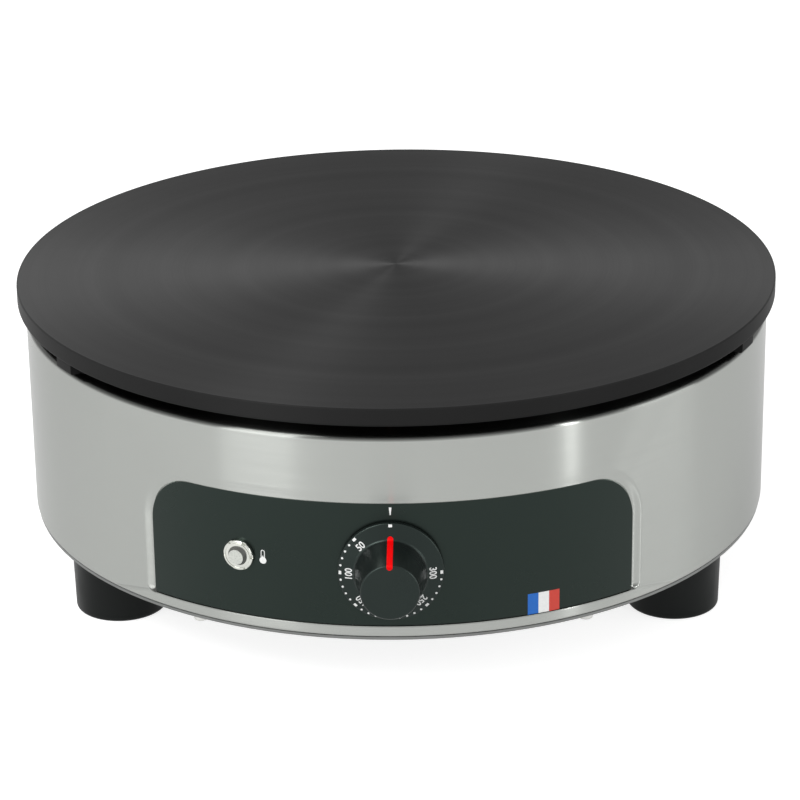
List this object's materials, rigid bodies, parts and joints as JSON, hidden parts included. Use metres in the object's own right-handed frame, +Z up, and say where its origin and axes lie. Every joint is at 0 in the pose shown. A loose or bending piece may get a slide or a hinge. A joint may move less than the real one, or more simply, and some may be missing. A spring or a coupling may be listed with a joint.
{
  "type": "electric crepe maker",
  "caption": "Countertop electric crepe maker: round cast-iron griddle on a drum-shaped stainless body with rubber feet, a thermostat knob and an indicator lamp.",
  "frame": {"origin": "on the axis of the drum, in the plane the feet stand on", "axes": "+Z up along the drum's axis, -Y to the front with the control panel, +X to the user's right"},
  "size_m": [0.3999, 0.4439, 0.158],
  "materials": {
    "cast_iron": "turned and seasoned",
    "element_sheath": "heat-tinted sheath",
    "ceramic": "unglazed steatite",
    "plated_steel": "zinc plated",
    "insulation": "ceramic fibre",
    "dark_steel": "heat-darkened steel",
    "stainless": "brushed round the drum",
    "panel_film": "semi-matt",
    "knob_plastic": "satin moulded",
    "pointer_red": "gloss",
    "brass": "plain",
    "copper": "plain",
    "bezel_chrome": "polished",
    "lens_clear": "frosted",
    "lamp_plastic": "moulded",
    "base_steel": "galvanised",
    "foot_rubber": "moulded",
    "gland_nylon": "moulded",
    "seal_rubber": "moulded",
    "wire_brown": "silicone",
    "wire_red": "silicone",
    "wire_blue": "silicone",
    "wire_green": "silicone"
  },
  "bodies": {
    "cooker": {"griddle_plate": "cast_iron", "heating_element": "element_sheath", "element_terminals": "ceramic", "element_clamp": "plated_steel", "clamp_stud": "plated_steel", "clamp_nuts": "plated_steel", "shield_washer": "plated_steel", "insulation_pad": "insulation", "heat_shield": "dark_steel", "body_shell": "stainless", "rim_flange": "stainless", "control_panel": "panel_film", "thermostat_case": "ceramic", "thermostat_blades": "brass", "thermostat_screws": "plated_steel", "thermostat_bracket": "plated_steel", "bracket_screws": "plated_steel", "thermostat_bulb": "copper", "bulb_saddle": "plated_steel", "capillary_tube": "copper", "lamp_bezel": "bezel_chrome", "lamp_lens": "lens_clear", "lamp_body": "lamp_plastic", "lamp_nut": "plated_steel", "base_plate": "base_steel", "base_screws": "plated_steel", "tie_rods": "plated_steel", "foot_left": "foot_rubber", "foot_right": "foot_rubber", "foot_rear": "foot_rubber", "foot_inserts": "plated_steel", "gland_body": "gland_nylon", "gland_cap": "gland_nylon", "gland_seal": "seal_rubber", "gland_nut": "gland_nylon", "terminal_block": "ceramic", "terminal_clamps": "brass", "terminal_screws": "plated_steel", "earth_stud": "brass", "earth_nuts": "plated_steel", "wire_supply_live": "wire_brown", "wire_heater_live": "wire_red", "wire_heater_neutral": "wire_blue", "wire_lamp_live": "wire_red", "wire_lamp_neutral": "wire_blue", "wire_earth": "wire_green"},
    "dial": {"knob": "knob_plastic", "knob_pointer": "pointer_red", "thermostat_spindle": "plated_steel"}
  },
  "joints": [
    {"name": "thermostat_turn", "type": "hinge", "parent": "cooker", "child": "dial", "pos_m": [0, -0.2, 0.0715], "axis": [0, 1, 0], "range_deg": [0, 270]}
  ]
}
